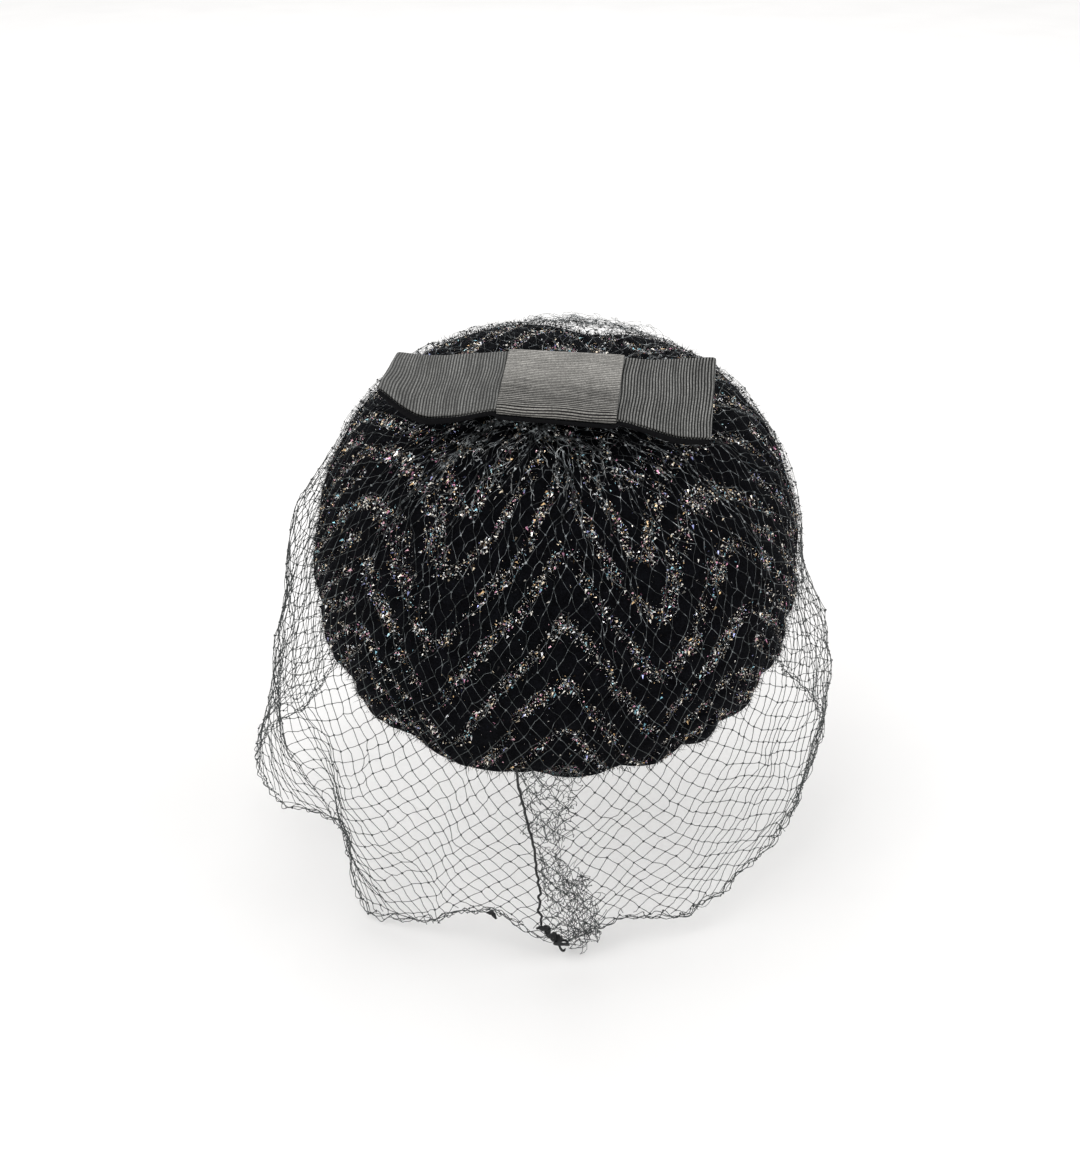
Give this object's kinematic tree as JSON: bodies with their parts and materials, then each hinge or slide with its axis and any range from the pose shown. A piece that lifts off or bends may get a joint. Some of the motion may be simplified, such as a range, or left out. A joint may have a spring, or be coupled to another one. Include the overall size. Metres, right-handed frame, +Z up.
{
  "type": "fascinator",
  "caption": "Small round velvet cocktail cap with zigzag lurex stripes, a flat grosgrain bow near its top and a full round diamond-mesh veil that hangs below its rim.",
  "frame": {"origin": "the point inside the cap where its own axis meets the crown of the head", "axes": "+Z up as worn; the wearer faces -Y; +X is the wearer's left; the cap's axis leans 36 degrees back towards +Y"},
  "size_m": [0.2257, 0.2131, 0.2092],
  "materials": {
    "velvet": "matte",
    "netting": "matte",
    "thread": "satin",
    "grosgrain": "satin",
    "grosgrain_band": "satin",
    "comb": "gloss"
  },
  "bodies": {
    "root": {"cap": "velvet", "veil": "netting", "veil_ruffle": "netting", "seam_thread": "thread", "hem_thread": "netting", "seam_knot": "thread", "hem_knot": "thread", "bow_ribbon": "grosgrain", "bow_band": "grosgrain_band", "hair_comb": "comb"}
  },
  "joints": []
}
